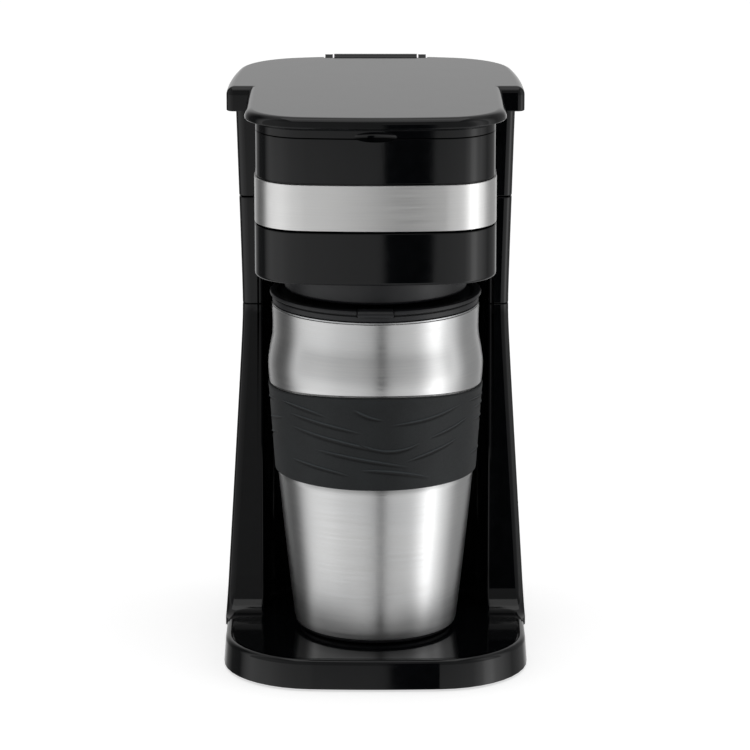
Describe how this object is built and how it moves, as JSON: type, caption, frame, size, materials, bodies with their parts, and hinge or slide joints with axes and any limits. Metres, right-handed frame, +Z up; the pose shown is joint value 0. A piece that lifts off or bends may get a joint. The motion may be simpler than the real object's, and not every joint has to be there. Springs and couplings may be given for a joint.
{
  "type": "drip coffee maker",
  "caption": "Single-cup drip coffee maker in gloss black with a brushed steel band, hinged lid, deep bay and a steel travel mug with a grip sleeve.",
  "frame": {"origin": "on the table under the middle of the machine", "axes": "+X to the right seen from the front, +Y from the front to the back, +Z up"},
  "size_m": [0.1244, 0.1618, 0.2334],
  "materials": {
    "gloss_black": "polished moulded plastic",
    "matt_black": "fine moulded texture",
    "brushed_steel": "fine circumferential brushing",
    "plain_steel": "plain sheet or wire",
    "heater_aluminium": "extruded",
    "grip_rubber": "matt with embossed strokes",
    "foot_rubber": "matt",
    "silicone": "translucent white silicone",
    "white_plastic": "moulded",
    "wire_cover": "smooth extruded cover"
  },
  "bodies": {
    "machine": {"bottom_plate": "matt_black", "bottom_screw_1": "plain_steel", "bottom_screw_2": "plain_steel", "bottom_screw_3": "plain_steel", "bottom_screw_4": "plain_steel", "check_valve": "white_plastic", "cord_gland": "foot_rubber", "feed_tube_lower": "silicone", "feed_tube_upper": "silicone", "filter_frame": "matt_black", "filter_holder": "matt_black", "filter_mesh": "plain_steel", "foot_1": "foot_rubber", "foot_2": "foot_rubber", "foot_3": "foot_rubber", "foot_4": "foot_rubber", "head_band": "brushed_steel", "heater_bracket": "plain_steel", "heater_tube": "heater_aluminium", "heating_element": "heater_aluminium", "hinge_pin": "plain_steel", "lower_housing": "gloss_black", "mid_housing": "gloss_black", "outlet_nozzle": "matt_black", "riser_tube": "silicone", "switch_body": "matt_black", "thermal_fuse": "white_plastic", "thermostat": "plain_steel", "top_housing": "gloss_black", "tube_clamp_1": "plain_steel", "tube_clamp_2": "plain_steel", "tube_clamp_3": "plain_steel", "tube_clamp_4": "plain_steel", "water_tank": "matt_black", "wire_to_switch": "wire_cover", "wire_to_thermostat": "wire_cover"},
    "lid": {"lid": "gloss_black", "lid_inner_cover": "matt_black", "shower_head": "matt_black"},
    "switch": {"switch_rocker": "gloss_black"},
    "mug": {"mug_shell": "brushed_steel", "mug_liner": "brushed_steel", "mug_foot": "matt_black", "mug_sleeve": "grip_rubber"},
    "mug_cap": {"mug_lid": "matt_black", "mug_lid_seal": "silicone"},
    "cap_slider": {"mug_lid_slider": "matt_black"}
  },
  "joints": [
    {"name": "lid_hinge", "type": "hinge", "parent": "machine", "child": "lid", "pos_m": [0, 0.0773, 0.2298], "axis": [-1, 0, 0], "range_deg": [0, 100]},
    {"name": "power_rocker", "type": "hinge", "parent": "machine", "child": "switch", "pos_m": [0.0578, 0.036, 0.042], "axis": [0, -1, 0], "range_deg": [0, 14]},
    {"name": "mug_slide", "type": "slide", "parent": "machine", "child": "mug", "axis": [0, -1, 0], "range_m": [0, 0.15]},
    {"name": "mug_lid_turn", "type": "hinge", "parent": "mug", "child": "mug_cap", "pos_m": [0, -0.0275, 0.15], "axis": [0, 0, 1], "range_deg": [0, 90]},
    {"name": "sip_slider", "type": "slide", "parent": "mug_cap", "child": "cap_slider", "axis": [0, 1, 0], "range_m": [0, 0.01]}
  ]
}
